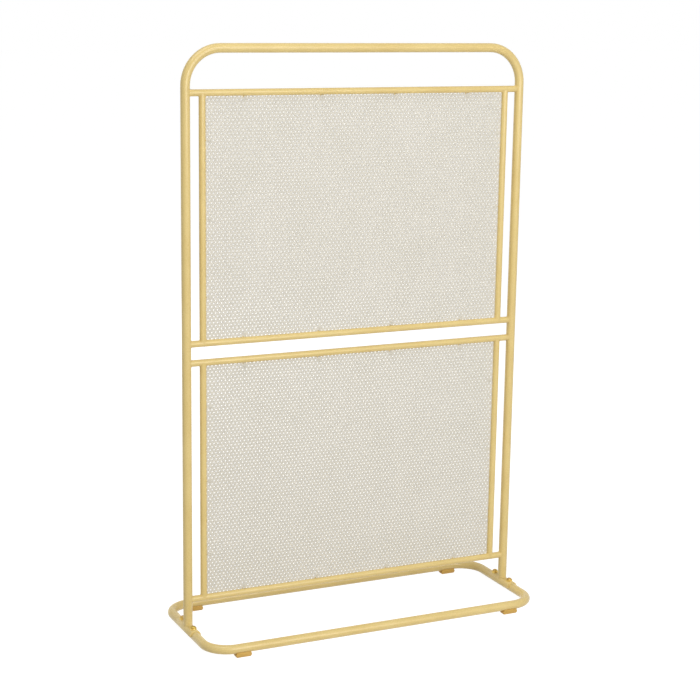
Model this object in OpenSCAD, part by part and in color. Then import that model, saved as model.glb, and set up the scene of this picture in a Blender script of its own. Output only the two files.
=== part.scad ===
// Freestanding privacy screen: a bent tube hoop bolted onto a ring of the same tube,
// with two perforated sheets held one above the other between slimmer tubes.
// The screen faces -Y and +Z is up. The origin is on the floor, in the middle of the ring.
// Large openings stand for the sheets' fine perforation, whose own spacing places the rivets.

/* [Overall] */
// Distance between the centre lines of the two uprights
screen_w = 990; // [800:10:1200]
// Height from the floor to the top of the hoop
screen_h = 1600; // [1300:10:1800]
// Distance between the centre lines of the front and rear base tubes
base_depth = 372; // [320:2:480]

/* [Main tube] */
// Outside diameter of the hoop and of the base ring
tube_d = 25; // [22:0.5:28]
// Wall of the hoop and of the base ring
tube_wall = 1.5; // [1:0.1:2.5]
// Centre-line radius of the two bends at the top of the hoop
hoop_bend_r = 96; // [50:1:150]
// Centre-line radius of the four bends of the base ring
base_bend_r = 69; // [50:1:85]

/* [Panel frames] */
// Outside diameter of the cross tubes and of the stiles
slim_d = 18; // [14:0.5:20]
// Wall of the cross tubes and of the stiles
slim_wall = 1.5; // [1:0.1:2.5]
// From the centre line of an upright to the centre line of the stile beside it
stile_inset = 46; // [36:1:90]
// From the centre line of the top bar down to the highest cross tube
top_drop = 113.5; // [60:0.5:200]
// From the lowest cross tube up to the next, across the space between the panels
panel_gap = 52; // [30:1:120]
// Height of the lowest cross tube's centre line above the floor
low_rail_z = 106; // [90:1:200]

/* [Sheets] */
// Thickness of a perforated sheet
sheet_t = 1.5; // [1:0.1:3]
// Clearance between the edge of a sheet and the tubes round it
sheet_clear = 0.5; // [0.2:0.1:0.9]
// Distance between neighbouring perforations in one row
hole_pitch = 11; // [8:0.5:14]
// Distance between neighbouring rows, which are staggered by half a pitch
hole_row = 8.6; // [6:0.1:12]
// Openings in one row across a sheet, large stand-ins for its fine perforations
openings_across = 12; // [4:1:12]
// Share of a sheet that its perforations leave open
open_share = 0.13; // [0.1:0.01:0.25]

/* [Sheet fixings] */
// Number of tabs on each cross tube
rail_tabs = 4; // [2:1:6]
// Number of tabs on each stile
stile_tabs = 3; // [2:1:5]
// Width of a tab
tab_w = 11; // [10:0.5:20]
// Thickness of a tab
tab_t = 2; // [1.5:0.1:3]
// Least distance from the edge of a sheet to the middle of a rivet
rivet_edge = 7.5; // [7:0.5:12]
// Diameter of a rivet's shank
rivet_d = 4; // [3.2:0.1:4.8]
// Diameter of a rivet's wide head
rivet_head_d = 9.5; // [8:0.5:11]
// Height of a rivet's domed head
rivet_head_h = 1.3; // [1:0.1:2]
// Length of the closed end behind a tab
rivet_tail_h = 4.5; // [3:0.1:6]

/* [Saddles] */
// Length of a saddle along the base tube
saddle_len = 118; // [110:1:150]
// Thickness of a saddle
saddle_t = 3.5; // [2.5:0.1:5]
// Length of the slope at each end of a saddle
saddle_ramp = 7; // [3:0.5:8]
// From the middle of a saddle to each of its bolts
bolt_y = 42; // [34:1:46]
// Diameter of a bolt's shank
bolt_d = 8; // [6:0.5:8]
// Length of a bolt below its head
bolt_len = 25; // [20:1:28]
// Diameter of a bolt's head
bolt_head_d = 14; // [12:0.5:16]
// Height of a bolt's domed head
bolt_head_h = 4.4; // [3.5:0.1:6]
// Size across the flats of the socket in a bolt's head
socket_af = 5; // [4:0.5:6]
// Diameter of the washer under a bolt's head
washer_d = 18; // [16:0.5:18]
// Height of a washer above the crown of the saddle
washer_h = 3; // [1:0.1:4]
// Length of the bar that joins the two halves of the base ring
joint_bar_len = 140; // [120:1:180]

/* [Glides] */
// Length of a glide along the tube
glide_len = 45; // [36:1:60]
// How far a glide reaches past the start of the bend beside it
glide_past_bend = 5; // [0:1:15]
// Thickness of a glide below the tube
glide_sole = 9; // [8:0.5:14]
// How far a glide reaches up round the tube
glide_wrap = 4.5; // [3:0.5:9]
// Width of a glide's rim on each side of the tube
glide_rim = 2; // [1.5:0.1:3]
// Width of the flat sole
sole_w = 20; // [16:0.5:21]
// Diameter of the shank of a glide's screw
screw_d = 3.5; // [3:0.1:4.5]
// Diameter of a screw's head
screw_head_d = 8; // [6:0.5:9]
// Height of a screw's head
screw_head_h = 2.4; // [1.5:0.1:3]
// Length of a screw below its head
screw_len = 16; // [12:1:18]

/* [Clearances] */
// Gap left at each welded joint
weld_gap = 0.1; // [0.05:0.01:0.2]
// Gap between a tube and a saddle, washer or glide that sits on it
seat_gap = 0.15; // [0.05:0.01:0.25]
// Radial gap round the joint bars inside the base tube
slide_gap = 0.2; // [0.1:0.05:0.4]
// Radial gap round a bolt or rivet where it passes through a plate
hole_gap = 0.5; // [0.1:0.05:0.6]
// Radial gap round a shank where it is screwed in or set
thread_gap = 0.05; // [0.01:0.01:0.08]

/* [Hidden] */
$fn = 64;
eps = 1;

tube_r = tube_d / 2;
slim_r = slim_d / 2;
half_w = screen_w / 2;
half_d = base_depth / 2;
base_z = glide_sole + tube_r;
glide_x = half_w - base_bend_r + glide_past_bend - glide_len / 2;
bar_z = screen_h - tube_r;
stile_x = half_w - stile_inset;

// Heights of the four cross tubes, shared out so that the two panels are alike
panel_h = (bar_z - top_drop - low_rail_z - panel_gap) / 2;
lower_z = [low_rail_z, low_rail_z + panel_h];
upper_z = [lower_z[1] + panel_gap, lower_z[1] + panel_gap + panel_h];

// Sheets fill the clear space inside a panel's tubes
clear_w = 2 * stile_x - slim_d;
clear_h = panel_h - slim_d;
sheet_w = clear_w - 2 * sheet_clear;
sheet_h = clear_h - 2 * sheet_clear;

// Rivets pass through perforations, so they sit on the perforation's own spacing
tab_x = hole_pitch * floor((sheet_w / 2 - rivet_edge) / hole_pitch);
tab_z = 2 * hole_row * floor((sheet_h / 2 - rivet_edge) / (2 * hole_row));
rail_tab_places = [for (i = [0 : rail_tabs - 1]) snapped(i, rail_tabs, clear_w, hole_pitch)];
stile_tab_places = [for (i = [0 : stile_tabs - 1]) snapped(i, stile_tabs, clear_h, 2 * hole_row)];

// Openings stay clear of the tabs, in staggered rows that leave the sheet's share open
open_pitch = 2 * (tab_x - tab_w) / openings_across;
open_rows = round(2 * (tab_z - tab_w) / (open_pitch * cos(30)));
open_row = 2 * (tab_z - tab_w) / open_rows;
open_count = open_rows * openings_across - floor(open_rows / 2);
open_r = sqrt(open_share * sheet_w * sheet_h / (open_count * 3 * cos(30)));

saddle_in_r = tube_r + seat_gap;
saddle_out_r = saddle_in_r + saddle_t;
washer_top = saddle_out_r + washer_h;
head_rim = bolt_head_h * 0.25;
socket_depth = bolt_head_h * 0.55;
socket_r = socket_af / 2 / cos(30);
land_r = socket_r + 0.5;
screw_seat = glide_sole * 0.4;
screw_recess_r = screw_head_d / 2 + hole_gap;
glide_top = glide_sole + glide_wrap;

function snapped(i, count, span, step) = step * round((i - (count - 1) / 2) * span / count / step);

gold = [0.87, 0.77, 0.53];
stone = [0.84, 0.82, 0.77];
zinc = [0.72, 0.73, 0.74];
brass = [0.76, 0.62, 0.33];
ochre = [0.74, 0.58, 0.28];

// A cap of a sphere: its flat side has the given radius and it is h high
module dome(r, h) {
    ball_r = (r * r + h * h) / (2 * h);
    intersection() {
        translate([0, 0, h - ball_r]) sphere(ball_r);
        cylinder(r = r, h = h);
    }
}

// A quarter turn of round bar in the XY plane, from the X axis to the Y axis
module quarter_bend(bend_r, r) {
    rotate_extrude(angle = 90) translate([bend_r, 0]) circle(r);
}

// A round bar along X, centred
module bar_x(r, length) {
    rotate([0, 90, 0]) cylinder(r = r, h = length, center = true);
}

// A round bar along Y, centred
module bar_y(r, length) {
    rotate([90, 0, 0]) cylinder(r = r, h = length, center = true);
}

// The hoop's solid outline at one radius, open downwards from start_z
module hoop_run(r, start_z) {
    bend_z = bar_z - hoop_bend_r;
    for (side = [-1, 1]) {
        translate([side * half_w, 0, start_z]) cylinder(r = r, h = bend_z - start_z);
    }
    translate([half_w - hoop_bend_r, 0, bend_z]) rotate([90, 0, 0]) quarter_bend(hoop_bend_r, r);
    mirror([1, 0, 0])
        translate([half_w - hoop_bend_r, 0, bend_z]) rotate([90, 0, 0]) quarter_bend(hoop_bend_r, r);
    translate([0, 0, bar_z]) bar_x(r, screen_w - 2 * hoop_bend_r);
}

module hoop() {
    color(gold) difference() {
        hoop_run(tube_r, base_z);
        hoop_run(tube_r - tube_wall, base_z - eps);
        for (side = [-1, 1]) {
            translate([side * half_w, 0, base_z]) bar_y(saddle_out_r + weld_gap, saddle_len);
        }
    }
}

// A cross tube from upright to upright, its ends cut to fit round them
module rail(z) {
    color(gold) difference() {
        translate([0, 0, z]) bar_x(slim_r, screen_w);
        translate([0, 0, z]) bar_x(slim_r - slim_wall, screen_w + 2 * eps);
        for (side = [-1, 1]) {
            translate([side * half_w, 0, z - slim_d]) cylinder(r = tube_r + weld_gap, h = 2 * slim_d);
        }
    }
}

// A stile between two cross tubes, its ends cut to fit them
module stile(side, ends) {
    color(gold) difference() {
        translate([side * stile_x, 0, ends[0]]) cylinder(r = slim_r, h = panel_h);
        translate([side * stile_x, 0, ends[0] - eps])
            cylinder(r = slim_r - slim_wall, h = panel_h + 2 * eps);
        for (z = ends) {
            translate([side * stile_x, 0, z]) bar_x(slim_r + weld_gap, 2 * slim_d);
        }
    }
}

// Sets its children at every rivet of a panel, on the face of the panel's middle plane
module at_rivets(ends) {
    middle_z = (ends[0] + ends[1]) / 2;
    for (side = [-1, 1]) {
        for (x = rail_tab_places) translate([x, 0, middle_z + side * tab_z]) children();
        for (z = stile_tab_places) translate([side * tab_x, 0, middle_z + z]) children();
    }
}

// Hexagonal openings of a sheet, in staggered rows
module sheet_openings() {
    for (row = [0 : open_rows - 1]) {
        count = openings_across - row % 2;
        z = (row - (open_rows - 1) / 2) * open_row;
        for (i = [0 : count - 1]) {
            x = (i - (count - 1) / 2) * open_pitch;
            translate([x, 0, z]) rotate([90, 30, 0])
                cylinder(r = open_r, h = 2 * sheet_t, center = true, $fn = 6);
        }
    }
}

module sheet(ends) {
    middle_z = (ends[0] + ends[1]) / 2;
    color(stone) difference() {
        translate([0, 0, middle_z]) cube([sheet_w, sheet_t, sheet_h], center = true);
        translate([0, 0, middle_z]) sheet_openings();
        at_rivets(ends) bar_y(rivet_d / 2 + hole_gap, 2 * sheet_t);
    }
}

// One tab: a plate with a round end at its rivet, reaching out along +X
module tab(reach) {
    translate([0, sheet_t / 2, 0]) rotate([-90, 0, 0]) difference() {
        union() {
            cylinder(r = tab_w / 2, h = tab_t);
            translate([0, -tab_w / 2, 0]) cube([reach, tab_w, tab_t]);
        }
        translate([0, 0, -eps]) cylinder(r = rivet_d / 2 + thread_gap, h = tab_t + 2 * eps);
    }
}

module sheet_tabs(ends) {
    middle_z = (ends[0] + ends[1]) / 2;
    rail_reach = panel_h / 2 - tab_z;
    stile_reach = stile_x - tab_x;
    color(gold) difference() {
        for (side = [-1, 1]) {
            for (x = rail_tab_places) {
                translate([x, 0, middle_z + side * tab_z]) rotate([0, -side * 90, 0]) tab(rail_reach);
            }
            for (z = stile_tab_places) {
                translate([side * tab_x, 0, middle_z + z]) rotate([0, 90 - side * 90, 0]) tab(stile_reach);
            }
        }
        for (z = ends) translate([0, 0, z]) bar_x(slim_r + weld_gap, screen_w);
        for (side = [-1, 1]) {
            translate([side * stile_x, 0, ends[0]]) cylinder(r = slim_r + weld_gap, h = panel_h);
        }
    }
}

// One blind rivet: domed head in front of the sheet, closed end behind the tab
module rivet() {
    grip = sheet_t + tab_t;
    rotate([90, 0, 0]) {
        translate([0, 0, sheet_t / 2]) dome(rivet_head_d / 2, rivet_head_h);
        translate([0, 0, sheet_t / 2 - grip]) cylinder(r = rivet_d / 2, h = grip);
        translate([0, 0, sheet_t / 2 - grip]) mirror([0, 0, 1]) {
            cylinder(r = rivet_d * 0.7, h = rivet_tail_h * 0.6);
            cylinder(r = rivet_d / 2, h = rivet_tail_h);
        }
    }
}

module sheet_rivets(ends) {
    color(stone) at_rivets(ends) rivet();
}

// Half of the base ring's solid outline at one radius: the tube at y = -half_d and its two
// bends, up to the joints in the middle of the sides
module base_run(r, overrun) {
    leg = half_d - base_bend_r - weld_gap / 2 + overrun;
    translate([0, -half_d, 0]) bar_x(r, screen_w - 2 * base_bend_r);
    for (side = [0, 1]) mirror([side, 0, 0]) {
        translate([half_w - base_bend_r, base_bend_r - half_d, 0]) mirror([0, 1, 0])
            quarter_bend(base_bend_r, r);
        translate([half_w, base_bend_r - half_d, 0]) rotate([-90, 0, 0]) cylinder(r = r, h = leg);
    }
}

module base_half() {
    difference() {
        base_run(tube_r, 0);
        base_run(tube_r - tube_wall, eps);
        for (side = [-1, 1]) {
            translate([side * half_w, -bolt_y, 0]) cylinder(r = bolt_d / 2 + hole_gap, h = tube_d);
            translate([side * glide_x, -half_d, -tube_d])
                cylinder(r = screw_d / 2 + thread_gap, h = tube_d);
        }
    }
}

module base_front_tube() {
    color(gold) translate([0, 0, base_z]) base_half();
}

module base_rear_tube() {
    color(gold) translate([0, 0, base_z]) mirror([0, 1, 0]) base_half();
}

// Solid bar inside the ring's joint, tapped for the saddle's two bolts
module joint_bar(side) {
    color(zinc) translate([side * half_w, 0, base_z]) difference() {
        bar_y(tube_r - tube_wall - slide_gap, joint_bar_len);
        for (y = [-bolt_y, bolt_y]) {
            translate([0, y, -tube_r]) cylinder(r = bolt_d / 2 + thread_gap, h = tube_d);
        }
    }
}

// Half shell that carries an upright on the base tube, sloped down at both ends
module saddle(side) {
    half = saddle_len / 2;
    crown = saddle_out_r + eps;
    slope = [[-half, 0], [-half, saddle_in_r], [saddle_ramp - half, crown],
        [half - saddle_ramp, crown], [half, saddle_in_r], [half, 0]];
    color(gold) translate([side * half_w, 0, base_z]) difference() {
        intersection() {
            bar_y(saddle_out_r, saddle_len);
            rotate([90, 0, 90]) linear_extrude(4 * tube_d, center = true) polygon(slope);
        }
        bar_y(saddle_in_r, saddle_len + 2 * eps);
        for (y = [-bolt_y, bolt_y]) {
            translate([0, y, 0]) cylinder(r = bolt_d / 2 + hole_gap, h = tube_d);
        }
    }
}

// Sets its children at the four bolts, on the centre line of the base tube
module at_bolts() {
    for (x = [-half_w, half_w]) {
        for (y = [-bolt_y, bolt_y]) translate([x, y, base_z]) children();
    }
}

// Washers with a flat top and a hollow underside that fits the saddle
module saddle_washers() {
    color(brass) at_bolts() difference() {
        translate([0, 0, saddle_in_r]) cylinder(r = washer_d / 2, h = washer_top - saddle_in_r);
        bar_y(saddle_out_r + thread_gap, tube_d);
        cylinder(r = bolt_d / 2 + hole_gap, h = tube_d);
    }
}

// Button head whose rounded edge ends in a flat land round the socket
module button_head() {
    r = bolt_head_d / 2;
    rounded = [for (a = [0 : 15 : 90])
        [land_r + (r - land_r) * cos(a), head_rim + (bolt_head_h - head_rim) * sin(a)]];
    rotate_extrude() polygon(concat([[0, 0], [r, 0]], rounded, [[0, bolt_head_h]]));
}

module saddle_bolts() {
    color(brass) at_bolts() translate([0, 0, washer_top]) difference() {
        union() {
            translate([0, 0, -bolt_len]) cylinder(r = bolt_d / 2, h = bolt_len);
            button_head();
        }
        translate([0, 0, bolt_head_h - socket_depth]) cylinder(r = socket_r, h = bolt_head_h, $fn = 6);
    }
}

// Sets its children at one glide, on the floor below the base tube
module at_glide(side_x, side_y) {
    translate([side_x * glide_x, side_y * half_d, 0]) children();
}

// Low moulded pad with a flat sole, hollowed on top to seat the underside of the base ring
module glide(side_x, side_y) {
    seat_r = tube_r + seat_gap;
    wide = sqrt(pow(seat_r, 2) - pow(base_z - glide_top, 2)) + glide_rim;
    slope_z = glide_sole * 0.6;
    end_in = glide_len * 0.06;
    section = [[-sole_w / 2, 0], [sole_w / 2, 0], [wide, slope_z], [wide, glide_top],
        [-wide, glide_top], [-wide, slope_z]];
    flank = [[end_in - glide_len / 2, 0], [glide_len / 2 - end_in, 0], [glide_len / 2, slope_z],
        [glide_len / 2 - end_in, glide_top], [end_in - glide_len / 2, glide_top],
        [-glide_len / 2, slope_z]];
    color(ochre) difference() {
        at_glide(side_x, side_y) difference() {
            intersection() {
                rotate([90, 0, 90]) linear_extrude(glide_len, center = true) polygon(section);
                rotate([90, 0, 0]) linear_extrude(2 * wide, center = true) polygon(flank);
            }
            translate([0, 0, -eps]) cylinder(r = screw_recess_r, h = screw_seat + eps);
            cylinder(r = screw_d / 2 + hole_gap, h = base_z);
        }
        translate([0, 0, base_z]) mirror([0, side_y + 1, 0]) base_run(seat_r, eps);
    }
}

module glide_screws() {
    slot_w = screw_head_d * 0.14;
    slot_l = screw_head_d * 0.6;
    color(zinc) for (x = [-1, 1]) for (y = [-1, 1]) at_glide(x, y)
        translate([0, 0, screw_seat]) difference() {
            union() {
                mirror([0, 0, 1]) dome(screw_head_d / 2, screw_head_h);
                cylinder(r = screw_d / 2, h = screw_len - screw_d);
                translate([0, 0, screw_len - screw_d]) cylinder(r1 = screw_d / 2, r2 = 0.3, h = screw_d);
            }
            for (turn = [0, 90]) rotate([0, 0, turn])
                translate([-slot_l / 2, -slot_w / 2, -2 * screw_head_h])
                    cube([slot_l, slot_w, 1.6 * screw_head_h]);
        }
}

hoop();
rail(upper_z[1]);  // upper_top_rail
rail(upper_z[0]);  // upper_bottom_rail
rail(lower_z[1]);  // lower_top_rail
rail(lower_z[0]);  // lower_bottom_rail
stile(-1, upper_z);  // upper_left_stile
stile(1, upper_z);  // upper_right_stile
stile(-1, lower_z);  // lower_left_stile
stile(1, lower_z);  // lower_right_stile
sheet(upper_z);  // upper_sheet
sheet(lower_z);  // lower_sheet
sheet_tabs(upper_z);  // upper_sheet_tabs
sheet_tabs(lower_z);  // lower_sheet_tabs
sheet_rivets(upper_z);  // upper_sheet_rivets
sheet_rivets(lower_z);  // lower_sheet_rivets
base_front_tube();
base_rear_tube();
joint_bar(-1);  // left_joint_bar
joint_bar(1);  // right_joint_bar
saddle(-1);  // left_saddle
saddle(1);  // right_saddle
saddle_washers();
saddle_bolts();
glide(-1, -1);  // front_left_glide
glide(1, -1);  // front_right_glide
glide(-1, 1);  // rear_left_glide
glide(1, 1);  // rear_right_glide
glide_screws();
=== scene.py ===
import math

import bpy
from mathutils import Matrix, Vector


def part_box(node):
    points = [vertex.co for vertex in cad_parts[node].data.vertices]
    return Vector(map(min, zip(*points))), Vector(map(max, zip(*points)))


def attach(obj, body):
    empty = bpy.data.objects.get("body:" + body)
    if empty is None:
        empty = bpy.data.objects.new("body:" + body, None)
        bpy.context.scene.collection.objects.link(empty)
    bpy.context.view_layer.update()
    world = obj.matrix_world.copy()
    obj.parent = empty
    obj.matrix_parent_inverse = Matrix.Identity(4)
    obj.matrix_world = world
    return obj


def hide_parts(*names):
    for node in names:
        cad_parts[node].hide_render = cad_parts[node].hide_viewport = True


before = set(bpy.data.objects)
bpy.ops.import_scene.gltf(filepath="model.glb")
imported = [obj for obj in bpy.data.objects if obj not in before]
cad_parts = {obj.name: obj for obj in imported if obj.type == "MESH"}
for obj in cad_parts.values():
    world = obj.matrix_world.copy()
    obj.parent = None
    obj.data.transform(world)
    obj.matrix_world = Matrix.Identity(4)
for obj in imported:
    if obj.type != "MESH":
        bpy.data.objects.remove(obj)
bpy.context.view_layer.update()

# The looks of a freestanding privacy screen: two perforated sheets in slim tube frames,
# welded into a bent tube hoop that is bolted onto a rounded ring. Lengths are in metres.
MM = 0.001

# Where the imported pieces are, read from the low and high corners of their boxes
hoop_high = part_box("hoop")[1]
rail_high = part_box("upper_top_rail")[1]
stile_low, stile_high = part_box("upper_right_stile")
ring_low, ring_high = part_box("base_front_tube")
saddle_low, saddle_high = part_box("right_saddle")
washer_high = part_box("saddle_washers")[1]
bolt_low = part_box("saddle_bolts")[0]
MAIN_R = hoop_high.y
SLIM_R = rail_high.y
UPRIGHT_X = hoop_high.x - MAIN_R
STILE_X = (stile_low.x + stile_high.x) / 2
RING_Z = (ring_low.z + ring_high.z) / 2
SADDLE_R = (saddle_high.x - saddle_low.x) / 2
PANELS = ("upper", "lower")
RAIL_Z = {}
for panel in PANELS:
    for end in ("_top_rail", "_bottom_rail"):
        low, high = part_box(panel + end)
        RAIL_Z[panel + end] = (low.z + high.z) / 2

# The perforation: holes in rows staggered by half a pitch, one hole at each sheet's centre.
# Each is a hexagon as large as a round hole of 4 mm.
HOLE_PITCH = 11 * MM
ROW_PAIR = 17.2 * MM
HOLE_R = 2.2 * MM
SHEET_T = 1.5 * MM
COS30 = math.cos(math.radians(30))

# Tabs and rivets, measured from a sheet's centre in whole steps of the perforation, so that
# every rivet passes through one of its holes
TAB_W = 11 * MM
TAB_T = 2 * MM
TAB_HOLE_R = 2.05 * MM
TAB_X = 39 * HOLE_PITCH
TAB_Z = 18 * ROW_PAIR
RAIL_TABS = [step * HOLE_PITCH for step in (-30, -10, 10, 30)]
STILE_TABS = [step * ROW_PAIR for step in (-12, 0, 12)]
# The tube's surface is this far from its middle at the depth of a tab
TUBE_REACH = math.sqrt(SLIM_R ** 2 - (SHEET_T / 2 + TAB_T) ** 2)

# Weld beads, with a ripple every two steps along the seam
BEAD_R = 1.35 * MM
RIPPLE = 0.13 * MM
RIPPLE_STEP = 1.1 * MM
# Where two surfaces run smoothly into each other, a bead is only this share as thick
THINNEST = 0.15

# The saddles' washers and bolts
WASHER_R = 9 * MM
BOLT_Y = washer_high.y - WASHER_R
BOLT_SPOTS = [(x, y) for x in (-UPRIGHT_X, UPRIGHT_X) for y in (-BOLT_Y, BOLT_Y)]
SOCKET_CORNER_R = 3 * MM

# Rounded edges of the saddles and glides
SADDLE_EDGE = 0.7 * MM
GLIDE_EDGE = 1.3 * MM

# Points and edges closer together than this count as one place
NEAR = 0.05 * MM


# Materials

def srgb(code):
    """A hex colour such as "e2cb8b" as Blender's linear colour."""
    parts = [int(code[i:i + 2], 16) / 255 for i in (0, 2, 4)]
    return [p / 12.92 if p <= 0.04045 else ((p + 0.055) / 1.055) ** 2.4 for p in parts] + [1.0]


def add(tree, kind, inputs=None, **options):
    """Adds a shader node with its options, and sets or links its inputs."""
    made = tree.nodes.new("ShaderNode" + kind)
    for name, value in options.items():
        setattr(made, name, value)
    for name, value in (inputs or {}).items():
        if isinstance(value, bpy.types.NodeSocket):
            tree.links.new(value, made.inputs[name])
        else:
            made.inputs[name].default_value = value
    return made


def new_material(name):
    """An empty node material, with its tree and its output node."""
    material = bpy.data.materials.new(name)
    material.use_nodes = True
    tree = material.node_tree
    tree.nodes.clear()
    return material, tree, add(tree, "OutputMaterial")


def painted(name, colour, deep, rough, grain_mm, grain_depth_mm):
    """A coat on metal: a cured film with a fine orange peel and slow changes of thickness."""
    material, tree, output = new_material(name)
    place = add(tree, "TexCoord").outputs["Object"]
    # The film's thickness drifts over a hand's width, and the colour with it
    hand = 110 * MM
    drift = add(tree, "TexNoise", {"Vector": place, "Scale": 1 / hand, "Detail": 2.0, "Roughness": 0.5})
    film = add(tree, "MapRange", {"Value": drift.outputs["Fac"], "From Min": 0.3, "From Max": 0.7})
    tint = add(tree, "Mix", {0: film.outputs["Result"], 6: srgb(deep), 7: srgb(colour)}, data_type="RGBA")
    # The orange peel sets the grain, and flecks less than half as large change the tone a little
    peel = add(tree, "TexNoise", {"Vector": place, "Scale": 1 / (grain_mm * MM), "Detail": 3.0})
    fleck = add(tree, "TexNoise", {"Vector": place, "Scale": 1 / (0.4 * grain_mm * MM), "Detail": 1.0})
    speckle = add(tree, "MapRange", {"Value": fleck.outputs["Fac"], "From Min": 0.35, "From Max": 0.65,
                                     "To Min": 0.965, "To Max": 1.02})
    toned = add(tree, "HueSaturation", {"Color": tint.outputs[2], "Value": speckle.outputs["Result"]})
    gloss = add(tree, "MapRange", {"Value": peel.outputs["Fac"], "From Min": 0.3, "From Max": 0.7,
                                   "To Min": rough - 0.05, "To Max": rough + 0.06})
    relief = add(tree, "Bump", {"Height": peel.outputs["Fac"], "Strength": 0.35,
                                "Distance": grain_depth_mm * MM})
    shader = add(tree, "BsdfPrincipled", {
        "Base Color": toned.outputs["Color"], "Roughness": gloss.outputs["Result"],
        "Normal": relief.outputs["Normal"], "IOR": 1.5, "Specular IOR Level": 0.5})
    tree.links.new(shader.outputs["BSDF"], output.inputs["Surface"])
    return material


# Smooth semi-gloss powder coat on steel tube. Its melted film leaves an orange peel of about
# 2 mm with hardly any depth, and it looks clean, pale and slightly soft in its highlights.
gold_coat = painted("gold_powder_coat_on_steel", "e8cf8a", "e2c780", 0.28, 2.2, 0.10)

# The same coat over the weld beads, where the film pools and so looks a little deeper
weld_coat = painted("gold_powder_coat_over_weld", "e4cb88", "dcc27c", 0.36, 1.6, 0.12)

# Fine matt powder coat on perforated sheet, sandy to the touch, in an off-white stone colour
stone_coat = painted("stone_matt_powder_coat", "ddd8cc", "d9d4c7", 0.62, 1.2, 0.10)

# Paint over the rivets' aluminium heads, smoother than on the sheet
rivet_coat = painted("painted_aluminium_rivet", "ddd8cc", "d8d3c5", 0.5, 1.6, 0.06)


def plated(name, colour, tinge, cloud_mm, smooth, dull):
    """Zinc plate on steel: its colour and gloss are cloudy, as the bath leaves them."""
    material, tree, output = new_material(name)
    place = add(tree, "TexCoord").outputs["Object"]
    cloud = add(tree, "TexNoise", {"Vector": place, "Scale": 1 / (cloud_mm * MM), "Detail": 4.0})
    blend = add(tree, "MapRange", {"Value": cloud.outputs["Fac"], "From Min": 0.38, "From Max": 0.62})
    tint = add(tree, "Mix", {0: blend.outputs["Result"], 6: srgb(tinge), 7: srgb(colour)},
               data_type="RGBA")
    gloss = add(tree, "MapRange", {"Value": cloud.outputs["Fac"], "To Min": smooth, "To Max": dull})
    shader = add(tree, "BsdfPrincipled", {
        "Base Color": tint.outputs[2], "Roughness": gloss.outputs["Result"], "Metallic": 1.0})
    tree.links.new(shader.outputs["BSDF"], output.inputs["Surface"])
    return material


# Bright zinc plate, grey with a faint bluish cloudiness, and yellow-passivated zinc plate, whose
# thin film drifts from olive to reddish brown over a few millimetres. On the bolts both of its tones
# are set darker than the real plate, as painted shade for the shadow that falls on the bolts.
# On the washers it is thinner, and so a paler yellow.
zinc = plated("bright_zinc_plate", "cfd0cf", "b4b6ba", 9, 0.24, 0.42)
yellow_zinc_with_painted_shade = plated("yellow_passivated_zinc_plate_with_painted_shade", "b6a24e", "c09562", 6, 0.3, 0.5)
fresh_zinc = plated("pale_yellow_zinc_plate", "dcc46f", "d1ab58", 8, 0.32, 0.48)


def moulded_nylon():
    """Injection-moulded nylon: even ochre with a fine spark-eroded texture, a little waxy."""
    material, tree, output = new_material("ochre_moulded_nylon")
    place = add(tree, "TexCoord").outputs["Object"]
    flow = add(tree, "TexNoise", {"Vector": place, "Scale": 1 / (14 * MM), "Detail": 2.0})
    tint = add(tree, "Mix", {0: flow.outputs["Fac"], 6: srgb("cba04a"), 7: srgb("deb661")},
               data_type="RGBA")
    # The mould's texture is about 0.3 mm across, drawn at 0.8 mm so that it shows
    erosion = add(tree, "TexNoise", {"Vector": place, "Scale": 1 / (0.8 * MM), "Detail": 2.0})
    relief = add(tree, "Bump", {"Height": erosion.outputs["Fac"], "Strength": 0.3, "Distance": 0.08 * MM})
    gloss = add(tree, "MapRange", {"Value": erosion.outputs["Fac"], "To Min": 0.48, "To Max": 0.6})
    shader = add(tree, "BsdfPrincipled", {
        "Base Color": tint.outputs[2], "Roughness": gloss.outputs["Result"],
        "Normal": relief.outputs["Normal"], "IOR": 1.53,
        "Subsurface Weight": 0.08, "Subsurface Radius": (0.003, 0.002, 0.001)})
    tree.links.new(shader.outputs["BSDF"], output.inputs["Surface"])
    return material


nylon = moulded_nylon()


# Selecting, shaping and finishing a piece

def start_clean():
    """Back to object mode with nothing selected, as every new primitive needs."""
    if bpy.context.object and bpy.context.object.mode != "OBJECT":
        bpy.ops.object.mode_set(mode="OBJECT")
    bpy.ops.object.select_all(action="DESELECT")


def choose(piece):
    """Selects just this piece, and makes it the active one."""
    start_clean()
    bpy.context.view_layer.objects.active = piece
    piece.select_set(True)


def edit(piece, mode="VERT"):
    """Opens a piece in edit mode with nothing selected in it."""
    choose(piece)
    bpy.ops.object.mode_set(mode="EDIT")
    bpy.ops.mesh.select_mode(type=mode)
    bpy.ops.mesh.select_all(action="DESELECT")


def pick(piece, kind, test):
    """Selects just those vertices, edges or faces whose middle passes the test."""
    bpy.ops.object.mode_set(mode="OBJECT")
    mesh = piece.data
    for group in (mesh.vertices, mesh.edges, mesh.polygons):
        group.foreach_set("select", [False] * len(group))
    if kind == "VERT":
        for vertex in mesh.vertices:
            vertex.select = test(vertex.co)
    elif kind == "EDGE":
        for part in mesh.edges:
            ends = [mesh.vertices[i].co for i in part.vertices]
            part.select = test((ends[0] + ends[1]) / 2)
    else:
        for part in mesh.polygons:
            part.select = test(part.center)
    bpy.ops.object.mode_set(mode="EDIT")


def face_outwards():
    """Turns all faces of the piece in edit mode outwards, and leaves edit mode."""
    bpy.ops.mesh.select_all(action="SELECT")
    bpy.ops.mesh.normals_make_consistent(inside=False)
    bpy.ops.object.mode_set(mode="OBJECT")


def use_modifier(piece, kind, **settings):
    """Adds a modifier with its settings and applies it."""
    choose(piece)
    modifier = piece.modifiers.new(kind.title(), kind)
    for name, value in settings.items():
        setattr(modifier, name, value)
    bpy.ops.object.modifier_apply(modifier=modifier.name)


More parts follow.
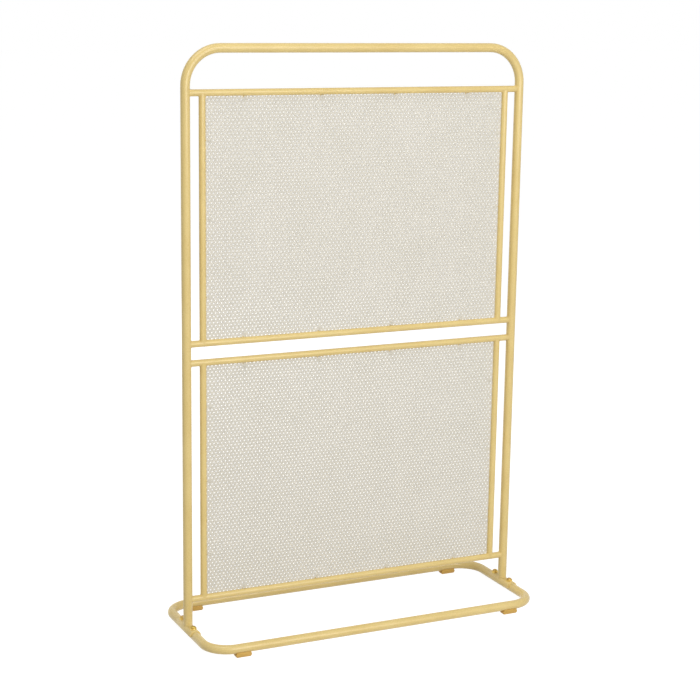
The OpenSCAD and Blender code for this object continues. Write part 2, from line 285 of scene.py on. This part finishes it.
def settle(piece, name, material, angle=35):
    """Puts the piece's place into its mesh, then smooths, names and paints it, and lets it ride
    on the body."""
    choose(piece)
    bpy.ops.object.transform_apply(location=True, rotation=True, scale=True)
    bpy.ops.object.shade_smooth_by_angle(angle=math.radians(angle))
    piece.name = name
    piece.data.name = name
    piece.data.materials.clear()
    piece.data.materials.append(material)
    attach(piece, "root")


def joined(pieces):
    """Joins all the pieces into the first of them."""
    start_clean()
    for piece in pieces:
        piece.select_set(True)
    bpy.context.view_layer.objects.active = pieces[0]
    bpy.ops.object.join()
    return pieces[0]


def copies(model, places):
    """Copies the model to every place, each with its own mesh, and joins them into one set."""
    made = []
    for place in places:
        twin = bpy.data.objects.new(model.name, model.data.copy())
        bpy.context.scene.collection.objects.link(twin)
        twin.data.transform(place)
        made.append(twin)
    bpy.data.objects.remove(model)
    return joined(made)


# Perforated sheets

# Turns a piece drawn flat so that it stands in the screen's plane and faces the front
STANDING = Matrix.Rotation(math.radians(90), 4, "X")


def hole_and_metal():
    """One hole with its share of the metal round it, lying flat round the origin."""
    start_clean()
    bpy.ops.mesh.primitive_circle_add(vertices=6, radius=HOLE_R, fill_type="NGON")
    piece = bpy.context.object
    side = HOLE_R * COS30
    across = HOLE_PITCH - 2 * side
    up = (HOLE_PITCH / 2 - side, ROW_PAIR / 2 - 1.5 * HOLE_R)
    # The three strips of metal to the right, to the upper right and to the upper left
    for spot, move in (
            ((side, 0), (across, 0)),
            ((side / 2, 0.75 * HOLE_R), up),
            ((-side / 2, 0.75 * HOLE_R), (-up[0], up[1]))):
        edit(piece, "EDGE")
        pick(piece, "EDGE", lambda co: math.hypot(co.x - spot[0], co.y - spot[1]) < NEAR)
        bpy.ops.mesh.extrude_edges_move(TRANSFORM_OT_translate={"value": (move[0], move[1], 0)})
    # The two triangles where three strips meet
    row = ROW_PAIR / 2
    for corners in (
            ((side, HOLE_R / 2), (HOLE_PITCH - side, HOLE_R / 2), (HOLE_PITCH / 2, row - HOLE_R)),
            ((0, HOLE_R), (up[0], row - HOLE_R / 2), (-up[0], row - HOLE_R / 2))):
        edit(piece)
        pick(piece, "VERT", lambda co: any(math.hypot(co.x - x, co.y - y) < NEAR for x, y in corners))
        bpy.ops.mesh.edge_face_add()
    # The hole itself is opened
    edit(piece, "FACE")
    pick(piece, "FACE", lambda co: co.length < NEAR)
    bpy.ops.mesh.delete(type="ONLY_FACE")
    bpy.ops.object.mode_set(mode="OBJECT")
    return piece


def perforated_sheet(node, name):
    """A sheet with its holes cut through: one hole repeated, trimmed to size and given its wall."""
    low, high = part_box(node)
    half_w = (high.x - low.x) / 2
    half_h = (high.z - low.z) / 2
    piece = hole_and_metal()
    columns = 2 * math.ceil(half_w / HOLE_PITCH + 1) + 1
    pairs = 2 * math.ceil(half_h / ROW_PAIR + 1) + 1
    for count, step in (
            (columns, (HOLE_PITCH, 0, 0)),
            (2, (HOLE_PITCH / 2, ROW_PAIR / 2, 0)),
            (pairs, (0, ROW_PAIR, 0))):
        use_modifier(piece, "ARRAY", count=count, use_relative_offset=False,
                     use_constant_offset=True, constant_offset_displace=step)
    edit(piece)
    bpy.ops.mesh.select_all(action="SELECT")
    bpy.ops.mesh.remove_doubles(threshold=0.02 * MM)
    bpy.ops.mesh.normals_make_consistent(inside=False)
    # The middle hole goes to the sheet's centre, and all four edges are trimmed
    bpy.ops.transform.translate(value=(-(columns // 2) * HOLE_PITCH, -(pairs // 2) * ROW_PAIR, 0))
    for x, y in ((-1, 0), (1, 0), (0, -1), (0, 1)):
        bpy.ops.mesh.select_all(action="SELECT")
        bpy.ops.mesh.bisect(plane_co=(x * half_w, y * half_h, 0), plane_no=(x, y, 0), clear_outer=True)
    bpy.ops.object.mode_set(mode="OBJECT")
    # The sheet stands up and gets its thickness
    piece.data.transform(Matrix.Translation((low + high) / 2) @ STANDING)
    use_modifier(piece, "SOLIDIFY", thickness=SHEET_T, offset=0)
    settle(piece, name, stone_coat, angle=62)
    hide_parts(node)


for panel in PANELS:
    perforated_sheet(panel + "_sheet", panel + "_perforated_sheet")


# Weld beads

def bead(around_r, end_axis, at, carrier_r, carrier_axis):
    """A weld bead where a tube of radius around_r, running along end_axis, ends on a carrier tube
    whose axis passes through the point. The bead follows the carrier's surface, and thins out
    where the two surfaces run smoothly into each other."""
    rings = 2 * round(math.pi * around_r / RIPPLE_STEP)
    start_clean()
    bpy.ops.mesh.primitive_torus_add(
        major_radius=around_r, minor_radius=BEAD_R, major_segments=rings, minor_segments=10)
    piece = bpy.context.object
    place = Matrix.Translation(at) @ Vector(end_axis).to_track_quat("Z", "Y").to_matrix().to_4x4()
    aside = place.to_3x3().inverted() @ Vector(end_axis).cross(Vector(carrier_axis))
    for vertex in piece.data.vertices:
        co = vertex.co
        turn = math.atan2(co.y, co.x)
        foot = Vector((around_r * math.cos(turn), around_r * math.sin(turn), 0))
        drop = math.sqrt(max(carrier_r ** 2 - foot.dot(aside) ** 2, 0))
        # Every other ring is a little thinner, which leaves the welder's small ripples
        ring = round(turn / (2 * math.pi) * rings) % 2
        thick = (THINNEST + (1 - THINNEST) * drop / carrier_r) * (1 - ring * RIPPLE / BEAD_R)
        vertex.co = foot + (co - foot) * thick + Vector((0, 0, drop))
    piece.data.transform(place)
    return piece


def weld_group(name, beads):
    """Joins the beads of one row of joints into one piece."""
    piece = joined(beads)
    edit(piece)
    face_outwards()
    settle(piece, name, weld_coat, angle=60)


X_AXIS, Y_AXIS, Z_AXIS = Matrix.Identity(3)
for rail, z in RAIL_Z.items():
    weld_group(rail + "_welds", [
        bead(SLIM_R, -side * X_AXIS, (side * UPRIGHT_X, 0, z), MAIN_R, Z_AXIS) for side in (-1, 1)])
for panel in PANELS:
    weld_group(panel + "_stile_welds", [
        bead(SLIM_R, up * Z_AXIS, (side * STILE_X, 0, RAIL_Z[panel + end]), SLIM_R, X_AXIS)
        for side in (-1, 1) for end, up in (("_bottom_rail", 1), ("_top_rail", -1))])
weld_group("upright_welds", [
    bead(MAIN_R, Z_AXIS, (side * UPRIGHT_X, 0, RING_Z), SADDLE_R, Y_AXIS) for side in (-1, 1)])


# Tabs, rivets, washers and bolts

def turned(name, sides, profile):
    """A turned part: a disc extruded and resized from step to step of its profile, which gives
    radii and heights in mm."""
    radius, height = profile[0]
    start_clean()
    bpy.ops.mesh.primitive_circle_add(
        vertices=sides, radius=radius * MM, fill_type="NGON", location=(0, 0, height * MM))
    bpy.ops.object.transform_apply(location=True)
    piece = bpy.context.object
    piece.name = name
    edit(piece, "FACE")
    bpy.ops.mesh.select_all(action="SELECT")
    for next_radius, next_height in profile[1:]:
        wider = next_radius / radius
        bpy.ops.mesh.extrude_region_move(
            TRANSFORM_OT_translate={"value": (0, 0, (next_height - height) * MM)})
        bpy.ops.transform.resize(value=(wider, wider, 1))
        radius, height = next_radius, next_height
    face_outwards()
    return piece


def hexagonal(piece, corner_r):
    """Turns every ring within the corners' radius into a hexagon, as in a socket."""
    for vertex in piece.data.vertices:
        if math.hypot(vertex.co.x, vertex.co.y) < corner_r + NEAR:
            turn = math.atan2(vertex.co.y, vertex.co.x) % math.radians(60)
            keep = COS30 / math.cos(turn - math.radians(30))
            vertex.co.x *= keep
            vertex.co.y *= keep


def sheet_tab(reach):
    """A plate with a round end and a rivet hole, reaching out along X from the rivet, its front
    on the plane Z = 0 and its thickness towards -Z."""
    start_clean()
    bpy.ops.mesh.primitive_circle_add(vertices=24, radius=TAB_HOLE_R, fill_type="NOTHING")
    piece = bpy.context.object
    edit(piece, "EDGE")
    bpy.ops.mesh.select_all(action="SELECT")
    bpy.ops.mesh.extrude_edges_move()
    half_w = TAB_W / 2
    wider = half_w / TAB_HOLE_R
    bpy.ops.transform.resize(value=(wider, wider, 1))
    # The outer half ring towards the tube is drawn out into the plate's straight part
    between_rings = (half_w + TAB_HOLE_R) / 2
    pick(piece, "VERT", lambda co: co.x > NEAR and co.length > between_rings)
    bpy.ops.transform.resize(value=(0, 1, 1), center_override=(reach, 0, 0))
    # Its first and last points lie 15 degrees short of the full width, and go out to the corners
    almost_wide = half_w * math.cos(math.radians(22.5))
    for edge in (-1, 1):
        pick(piece, "VERT", lambda co: co.x > reach - NEAR and co.y * edge > almost_wide)
        bpy.ops.transform.resize(value=(1, 0, 1), center_override=(0, edge * half_w, 0))
    face_outwards()
    use_modifier(piece, "SOLIDIFY", thickness=TAB_T, offset=0)
    piece.data.transform(Matrix.Translation((0, 0, -TAB_T / 2)))
    use_modifier(piece, "BEVEL", width=0.35 * MM, segments=2, limit_method="ANGLE",
                 angle_limit=math.radians(50))
    return piece


def panel_places(node):
    """Where a sheet's rivets are, each with the turn that points its X at the nearest tube and
    its Z to the front."""
    low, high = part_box(node)
    middle = (low + high) / 2
    spots = [(x, side * TAB_Z, side * 90) for side in (-1, 1) for x in RAIL_TABS]
    spots += [(side * TAB_X, z, 90 - side * 90) for side in (-1, 1) for z in STILE_TABS]
    places = []
    for x, z, turn in spots:
        spot = Matrix.Translation(middle + Vector((x, 0, z)))
        places.append(spot @ STANDING @ Matrix.Rotation(math.radians(turn), 4, "Z"))
    return places


def moved(places, x, y, z):
    """The same places, each shifted along its own axes."""
    return [place @ Matrix.Translation((x, y, z)) for place in places]


def welded_tabs(panel):
    """The tabs that carry one sheet, and the short welds that hold them to the frame's tubes."""
    half_frame = (RAIL_Z[panel + "_top_rail"] - RAIL_Z[panel + "_bottom_rail"]) / 2
    places = panel_places(panel + "_sheet")
    on_rails = 2 * len(RAIL_TABS)
    tabs = []
    welds = []
    for gap, group in ((half_frame - TAB_Z, places[:on_rails]), (STILE_X - TAB_X, places[on_rails:])):
        reach = gap - TUBE_REACH
        tabs.append(copies(sheet_tab(reach), moved(group, 0, 0, -SHEET_T / 2)))
        # A short weld of five ripples lies in the corner behind each tab
        ripples = turned("tab_weld", 10, [
            (0.3, -4.6), (0.9, -4.2), (1.2, -3.4), (1.0, -2.6), (1.3, -1.7), (1.05, -0.9), (1.3, 0),
            (1.05, 0.9), (1.3, 1.7), (1.0, 2.6), (1.2, 3.4), (0.9, 4.2), (0.3, 4.6)])
        ripples.data.transform(Matrix.Rotation(math.radians(90), 4, "X"))
        welds.append(copies(ripples, moved(group, reach, 0, -SHEET_T / 2 - TAB_T)))
    piece = joined(tabs)
    settle(piece, panel + "_welded_tabs", gold_coat)
    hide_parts(panel + "_sheet_tabs")
    weld_group(panel + "_tab_welds", welds)


def blind_rivets(panel):
    """The rivets of one sheet: a closed end behind the tab, and in front a wide low dome with the
    pulled stem's pit."""
    rivet = turned("rivet", 20, [
        (1.3, -7.2), (1.9, -6.8), (2.1, -6.0), (2.8, -5.4), (3.0, -4.6), (2.8, -3.4), (2.0, -2.76),
        (2.0, 0.76), (4.6, 0.78), (4.75, 0.95), (4.6, 1.2), (4.0, 1.55), (3.0, 1.87), (2.0, 2.03),
        (1.25, 2.05), (1.05, 1.95), (1.0, 1.15), (0.5, 1.05)])
    rivets = copies(rivet, panel_places(panel + "_sheet"))
    settle(rivets, panel + "_blind_rivets", rivet_coat, angle=40)
    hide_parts(panel + "_sheet_rivets")


def shaped_washers():
    """The washers have a flat rimmed top, and an underside that follows the saddle's round back."""
    top = (washer_high.z - RING_Z - SADDLE_R) / MM
    rim = WASHER_R / MM
    washer = turned("washer", 40, [
        (4.3, 0), (rim, 0), (rim, top - 0.6), (rim - 0.18, top - 0.18), (rim - 0.6, top),
        (5.0, top), (4.4, top - 0.4)])
    # The discs over the bolt's hole come out, below and above
    edit(washer, "FACE")
    pick(washer, "FACE", lambda co: math.hypot(co.x, co.y) < NEAR)
    bpy.ops.mesh.delete(type="FACE")
    bpy.ops.object.mode_set(mode="OBJECT")
    for vertex in washer.data.vertices:
        if vertex.co.z < NEAR:
            vertex.co.z = math.sqrt(SADDLE_R ** 2 - vertex.co.x ** 2) - SADDLE_R
    # The hole's wall joins the two open rings
    edit(washer, "EDGE")
    bpy.ops.mesh.select_non_manifold()
    bpy.ops.mesh.bridge_edge_loops()
    face_outwards()
    washers = copies(washer, [Matrix.Translation((x, y, RING_Z + SADDLE_R)) for x, y in BOLT_SPOTS])
    settle(washers, "shaped_washers", fresh_zinc)
    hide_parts("saddle_washers")


def button_head_bolts():
    """M8 bolts with a threaded shank, a rounded head, a land and a hexagon socket. Heights are
    measured from the head's underside."""
    shank = (washer_high.z - bolt_low.z) / MM
    # The thread's two radii, its pitch and its number of turns
    crest, root = 3.95, 3.35
    pitch = 1.25
    turns = 13
    thread = [(3.3, -shank), (crest, 0.8 - shank)]
    for turn in range(turns):
        start = pitch * turn - shank
        thread += [(crest, start + 1.1), (root, start + 1.6), (crest, start + 2.1)]
    plain_shank = [(4.0, -3.0), (4.0, 0)]
    head = [(6.7, 0), (7.0, 0.25), (7.0, 1.1), (6.85, 1.9), (6.4, 2.75), (5.7, 3.5), (4.8, 4.1),
            (3.9, 4.36), (3.45, 4.4)]
    socket = [(3.0, 4.38), (2.88, 4.2), (2.84, 2.0), (1.2, 1.6)]
    bolt = turned("bolt", 24, thread + plain_shank + head + socket)
    hexagonal(bolt, SOCKET_CORNER_R)
    # Each bolt has come to a stop at a turn of its own
    places = []
    for count, (x, y) in enumerate(BOLT_SPOTS):
        stop = math.radians(17 + 23 * count)
        places.append(Matrix.Translation((x, y, washer_high.z)) @ Matrix.Rotation(stop, 4, "Z"))
    bolts = copies(bolt, places)
    # The bolts' plate colour is partly painted shade: darker than the real yellow zinc
    settle(bolts, "button_head_bolts", yellow_zinc_with_painted_shade)
    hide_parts("saddle_bolts")


for panel in PANELS:
    welded_tabs(panel)
    blind_rivets(panel)
shaped_washers()
button_head_bolts()


# Softened copies of the saddles and glides

def softened(node, name, material, width, segments=2):
    """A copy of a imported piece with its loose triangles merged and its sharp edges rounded."""
    piece = bpy.data.objects.new(name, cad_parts[node].data.copy())
    bpy.context.scene.collection.objects.link(piece)
    edit(piece)
    bpy.ops.mesh.select_all(action="SELECT")
    bpy.ops.mesh.remove_doubles(threshold=0.002 * MM)
    bpy.ops.mesh.dissolve_limited(angle_limit=math.radians(0.4))
    bpy.ops.object.mode_set(mode="OBJECT")
    use_modifier(piece, "BEVEL", width=width, segments=segments, limit_method="ANGLE",
                 angle_limit=math.radians(32))
    settle(piece, name, material)
    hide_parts(node)


for side in ("left", "right"):
    softened(side + "_saddle", side + "_saddle_shell", gold_coat, SADDLE_EDGE)
for spot in ("front_left", "front_right", "rear_left", "rear_right"):
    softened(spot + "_glide", spot + "_moulded_glide", nylon, GLIDE_EDGE, segments=3)


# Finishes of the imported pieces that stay

FINISH = {
    gold_coat: ("hoop", "upper_top_rail", "upper_bottom_rail", "lower_top_rail", "lower_bottom_rail",
                "upper_left_stile", "upper_right_stile", "lower_left_stile", "lower_right_stile",
                "base_front_tube", "base_rear_tube"),
    zinc: ("left_joint_bar", "right_joint_bar", "glide_screws"),
}
for material, names in FINISH.items():
    for name in names:
        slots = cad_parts[name].data.materials
        slots.clear()
        slots.append(material)


# Floor, light and camera

def seen_by_camera(tree):
    """One for rays that the camera sees, straight, mirrored or through glass, and else nought."""
    path = add(tree, "LightPath")
    seen = add(tree, "Math", {0: path.outputs["Is Camera Ray"], 1: path.outputs["Is Glossy Ray"]},
               operation="MAXIMUM")
    seen = add(tree, "Math", {0: seen.outputs[0], 1: path.outputs["Is Transmission Ray"]},
               operation="MAXIMUM")
    return seen.outputs[0]


def floor_material():
    """Pale floor: white for the camera but for the deepest shadows under the glides, and light
    grey for the light that it throws back at the screen."""
    material, tree, output = new_material("pale_floor")
    plain = add(tree, "BsdfDiffuse", {"Color": srgb("d6d5d2")})
    shaded = add(tree, "BsdfDiffuse", {"Color": (0.30, 0.30, 0.30, 1)})
    glow = add(tree, "Emission", {"Color": (1, 1, 1, 1), "Strength": 0.92})
    pale = add(tree, "AddShader", {0: shaded.outputs[0], 1: glow.outputs[0]})
    mixed = add(tree, "MixShader", {0: seen_by_camera(tree), 1: plain.outputs[0], 2: pale.outputs[0]})
    tree.links.new(mixed.outputs[0], output.inputs["Surface"])
    return material


# The floor lies just under the soles, so that the two never share a plane
FLOOR_SIZE = 80
FLOOR_DROP = 0.2 * MM
start_clean()
bpy.ops.mesh.primitive_plane_add(size=FLOOR_SIZE, location=(0, 0, -FLOOR_DROP))
floor = bpy.context.object
floor.name = "studio_floor"
floor.data.materials.append(floor_material())

# A white studio for the camera, dimmer as a source of light so that the lamps shape the tubes
world = bpy.data.worlds.new("studio")
bpy.context.scene.world = world
world.use_nodes = True
studio = world.node_tree
studio.nodes.clear()
strength = add(studio, "MapRange", {"Value": seen_by_camera(studio), "To Min": 0.27, "To Max": 1.0})
backdrop = add(studio, "Background", {"Color": (1, 1, 1, 1), "Strength": strength.outputs["Result"]})
add(studio, "OutputWorld", {"Surface": backdrop.outputs[0]})


def soft_lamp(name, at, aim, width, height, power):
    """A large oblong lamp of so many watts aimed at a point, with its width level."""
    start_clean()
    bpy.ops.object.light_add(type="AREA", location=at)
    lamp = bpy.context.object
    lamp.name = name
    lamp.data.shape = "RECTANGLE"
    lamp.data.size = width
    lamp.data.size_y = height
    lamp.data.energy = power
    lamp.rotation_euler = (Vector(aim) - Vector(at)).to_track_quat("-Z", "Y").to_euler()
    return lamp


soft_lamp("low_front_box", (0.5, -4.8, 1.5), (0, 0, 0.8), 3.6, 0.5, 84)
soft_lamp("high_front_box", (0.8, -4.4, 3.4), (0, 0, 0.9), 2.4, 0.5, 56)
soft_lamp("soft_box_overhead", (-1.8, -0.9, 5.2), (0, 0, 0.5), 3.2, 3.2, 84)
# The fill lights the back, and leaves no highlights of its own along the ring
fill = soft_lamp("fill_behind", (-1.0, 4.8, 1.6), (0, 0, 0.8), 3.2, 1.2, 100)
fill.visible_glossy = False

# The camera, as fitted to the tubes' edges in the photograph. It stands to the left of the
# screen's front, looks a little down and leans slightly.
CAMERA_AT = (-1.9846, -4.1414, 1.7361)
YAW = math.radians(25.41)
PITCH = math.radians(11.96)
ROLL = math.radians(0.85)
camera_data = bpy.data.cameras.new("camera")
camera = bpy.data.objects.new("camera", camera_data)
bpy.context.scene.collection.objects.link(camera)
bpy.context.scene.camera = camera
camera_data.sensor_width = 36
camera_data.lens = 87.24
camera_data.clip_start = 0.05
camera_data.clip_end = 200
forward = Vector((math.sin(YAW) * math.cos(PITCH), math.cos(YAW) * math.cos(PITCH), -math.sin(PITCH)))
level = Vector((math.cos(YAW), -math.sin(YAW), 0))
upward = level.cross(forward)
right = math.cos(ROLL) * level + math.sin(ROLL) * upward
top = -math.sin(ROLL) * level + math.cos(ROLL) * upward
aim = Matrix((right, top, -forward)).transposed().to_4x4()
camera.matrix_world = Matrix.Translation(CAMERA_AT) @ aim

# Colours come out as they are set, without a film's tone curve
bpy.context.scene.view_settings.view_transform = "Standard"
